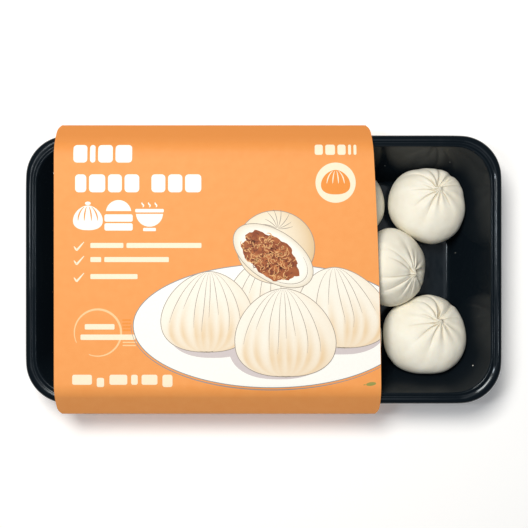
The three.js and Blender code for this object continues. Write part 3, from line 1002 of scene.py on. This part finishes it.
# %% The plate and the buns behind
PLATE = dict(x=4.3, y=-29.1, half_width=71.8, half_height=32.0)
lay_ink("print_plate", [oval(**PLATE, steps=160)], 2, PLATE_INK)
rim = stroke(oval(**PLATE, steps=160)[0], 0.42, closed=True)
angles = [math.radians(178 + 150 * i / 90) for i in range(91)]
underside = stroke([(4.3 + 72.9 * math.cos(a), -29.5 + 32.8 * math.sin(a)) for a in angles], 0.5)
lay_ink("print_plate_rim", [rim, underside], 3, RIM_INK)
cast = ((LEFT_BUN, 3.2, -3.0), (RIGHT_BUN, -2.0, -3.4), (FRONT_BUN, -3.4, -1.4))
for i, (bun, dx, dy) in enumerate(cast):
    lay_ink(f"print_shadow_{i + 1}", [bun.silhouette(dx, dy)], 4 if bun is FRONT_BUN else 3, SHADOW_INK)
BACK_BUN.draw("back_bun", 5)
LEFT_BUN.draw("left_bun", 7)
RIGHT_BUN.draw("right_bun", 7)
print("drew the plate and the buns behind")

# %% The bitten bun, its filling, and the front bun
MEAT_INK = ink("filling_brown_ink", "#C0703A", wash="#8A3F18")
STRAND_INK = ink("filling_strand_ink", "#E6AC70")
DARK_INK = ink("filling_dark_ink", "#6E3013")
DOUGH_INK = ink("bitten_dough_ink", "#FFFCF2", wash="#E9DDC6")
SKIN = dict(x=6.2, y=11.6, half_width=20.2, half_height=18.9)
BITE = dict(x=4.9, y=7.2, half_width=23.2, half_height=12.9)
MEAT = dict(x=3.4, y=6.9, half_width=16.6, half_height=9.9)
BITE_TILT, MEAT_TILT = -33, -37


def rounded_shade(u, v):
    return 0.55 * max(0, u + 0.1) + 0.3 * (u * u + v * v) ** 2


skin, washes = ring_fill(**SKIN, tilt=-8, shade=rounded_shade)
lay_ink("print_bitten_skin", [skin], 9, SKIN_INK, washes)
skin_lines = [stroke(oval(**SKIN, tilt=-8)[0], OUTLINE, closed=True)]
for angle in (-6, 12, 34, 62, 84, 104, 128, 150):
    a = math.radians(angle)
    reach = 9.5 if 20 < angle < 110 else 7.5
    travel = [0.6 + reach * i / 8 for i in range(9)]
    skin_lines.append(stroke([(7.0 + r * math.cos(a + 0.03 * r), 21.2 + r * math.sin(a + 0.03 * r))
                              for r in travel], OUTLINE))
lay_ink("print_bitten_skin_lines", skin_lines, 10, LINE_INK)
bite, washes = ring_fill(**BITE, tilt=BITE_TILT, shade=lambda u, v: 0.9 - 2.2 * (1 - (u * u + v * v)))
lay_ink("print_bitten_dough", [bite], 11, DOUGH_INK, washes)
outer = stroke(oval(**BITE, tilt=BITE_TILT)[0], OUTLINE, closed=True)
inner = oval(4.6, 7.0, 20.4, 10.9, BITE_TILT)[0]
lay_ink("print_bitten_dough_lines", [outer, stroke(inner[-22:] + inner[:14], PLEAT_LINE)], 12, LINE_INK)


def ragged(angle):
    return 1 + 0.05 * math.sin(5 * angle + 1) + 0.04 * math.sin(11 * angle) + 0.02 * math.sin(23 * angle)


def minced(u, v):
    return 0.5 + 0.9 * noise.noise(Vector((4 * u, 4 * v, 0))) + 0.25 * (u * u + v * v)


meat, washes = ring_fill(**MEAT, tilt=MEAT_TILT, shade=minced, ripple=ragged)
lay_ink("print_filling", [meat], 13, MEAT_INK, washes)
draw = random.Random(5)
strands, darks = [], []
lean, rise = math.cos(math.radians(MEAT_TILT)), math.sin(math.radians(MEAT_TILT))
for i in range(300):
    spread, angle = math.sqrt(draw.random()) * 0.9, draw.uniform(0, 2 * math.pi)
    a, b = MEAT["half_width"] * spread * math.cos(angle), MEAT["half_height"] * spread * math.sin(angle)
    x, y = MEAT["x"] + a * lean - b * rise, MEAT["y"] + a * rise + b * lean
    start = draw.uniform(0, 360)
    path = arc(x - 0.6, y, draw.uniform(0.6, 2.0), start, start + draw.uniform(70, 150), 8)
    (strands if i % 2 else darks).append(stroke(path, draw.uniform(0.3, 0.6)))
lay_ink("print_filling_darks", darks, 14, DARK_INK)
lay_ink("print_filling_strands", strands, 15, STRAND_INK)
FRONT_BUN.draw("front_bun", 16)
print("drew the bitten bun and the front one")

# %% The badge, and pictures in place of the third line
lay_ink("print_badge", [oval(37.2, 45.0, 10.4, 10.4)], 1, CREAM_INK)
badge_bun = DrawnBun((37.2, 51.6), (37.2, 38.9), 7.6, [-0.6, -0.2, 0.2, 0.6])
lay_ink("print_badge_bun", [badge_bun.silhouette()], 2, AMBER_INK)
lay_ink("print_badge_pleats", [stroke([badge_bun.at(m, 0.05 + 0.5 * j / 8) for j in range(9)], 0.6)
                               for m in badge_bun.pleats], 3, CREAM_INK)

picture_bun = DrawnBun((-91.0, 33.2), (-91.0, 20.4), 7.7, [-0.66, -0.24, 0.24, 0.66])
pictures = [picture_bun.silhouette(), oval(-91.0, 34.3, 1.5, 0.9)]
pictures += [rounded_bar(-82.4, -67.8, 20.2, 24.0, 0.9), rounded_bar(-82.4, -67.8, 24.8, 28.6, 0.9),
             (arc(-75.1, 29.4, 6.6, 8, 172, 24), [list(range(25))])]
pictures += [(arc(-59.1, 29.2, 7.0, 183, 357, 24), [list(range(25))]),
             rounded_bar(-66.5, -51.7, 29.6, 31.4, 0.6), rounded_bar(-62.4, -55.8, 19.9, 21.6, 0.5)]
pictures += [stroke([(-62.6 + 3.4 * k + 0.5 * math.sin(1.1 * j), 32.3 + 0.5 * j) for j in range(6)], 0.8)
             for k in range(3)]
lay_ink("print_pictures", pictures, 1, WHITE_INK)
lay_ink("print_picture_pleats", [stroke([picture_bun.at(m, 0.06 + 0.55 * j / 8) for j in range(9)], 0.7)
                                 for m in picture_bun.pleats], 2, AMBER_INK)
print("printed the badge and the pictures")

# %% [markdown]
# ## Floor, light and camera
#
# The pack lies on a pale sweep, seen from straight above, as a shop shows it. A mirror facing up shows what
# hangs over it, so black plastic needs care. The key is off to the far left and shapes the dumplings, but
# stays out of the tray's floor, which mirrors only a weak soft box overhead. Two narrow strips draw the
# highlights along the rim. The sky fills the shadows, and looks brighter to the camera, as a backdrop would.


# %% Floor
def pale_floor():
    bpy.ops.object.select_all(action="DESELECT")
    bpy.ops.mesh.primitive_plane_add(size=6)  # so wide that a low view doesn't look past it
    floor = bpy.context.object
    floor.name = "floor"
    white = linear("#FFFFFF")
    material = new_material("pale_floor", Roughness=0.9, Base_Color=white, Emission_Color=white,
                            Emission_Strength=0.14)[0]
    floor.data.materials.append(material)
    return floor


print(pale_floor().name, "laid")


# %% Light
def soft_box(name, place, size, watts, colour):
    light = bpy.data.lights.new(name, "AREA")
    light.shape = "RECTANGLE"
    light.size, light.size_y = size
    light.energy = watts
    light.color = linear(colour)[:3]
    lamp = bpy.data.objects.new(name, light)
    bpy.context.collection.objects.link(lamp)
    lamp.location = place
    lamp.rotation_euler = (-Vector(place)).to_track_quat("-Z", "Y").to_euler()


soft_box("key", (-0.16, 0.28, 0.95), (0.28, 0.28), 7.9, "#FFFCF6")
soft_box("overhead", (0.05, 0, 1.1), (0.6, 0.4), 1.0, "#F6FAFF")
soft_box("left_strip", (-0.3, 0.05, 0.95), (0.05, 0.13), 1.1, "#F6FAFF")
soft_box("right_strip", (0.5, -0.09, 0.85), (0.05, 0.12), 0.35, "#F6FAFF")
sky = bpy.data.worlds.new("sky")
sky.use_nodes = True
FILL, BACKDROP = 0.075, 0.24  # how strongly the sky lights the pack, and how bright it looks
seen = add_node(sky, "LightPath").outputs["Is Camera Ray"]
strength = add_node(sky, "MapRange", {}, {"Value": seen, "To Min": FILL, "To Max": BACKDROP})
sky.node_tree.nodes["Background"].inputs["Color"].default_value = linear("#EEF3F8")
sky.node_tree.links.new(strength.outputs["Result"], sky.node_tree.nodes["Background"].inputs["Strength"])
bpy.context.scene.world = sky
bpy.context.scene.view_settings.view_transform = "Standard"
print("lights:", len(bpy.data.lights))

# %% Camera
eye = bpy.data.objects.new("camera", bpy.data.cameras.new("camera"))
eye.data.lens = 78.2
eye.data.sensor_width = 36
eye.data.clip_start = 0.01
eye.location = (0.00015, 0.0029, 0.6388)
bpy.context.collection.objects.link(eye)
bpy.context.scene.camera = eye
print("camera height in mm:", round(eye.location.z / MM))
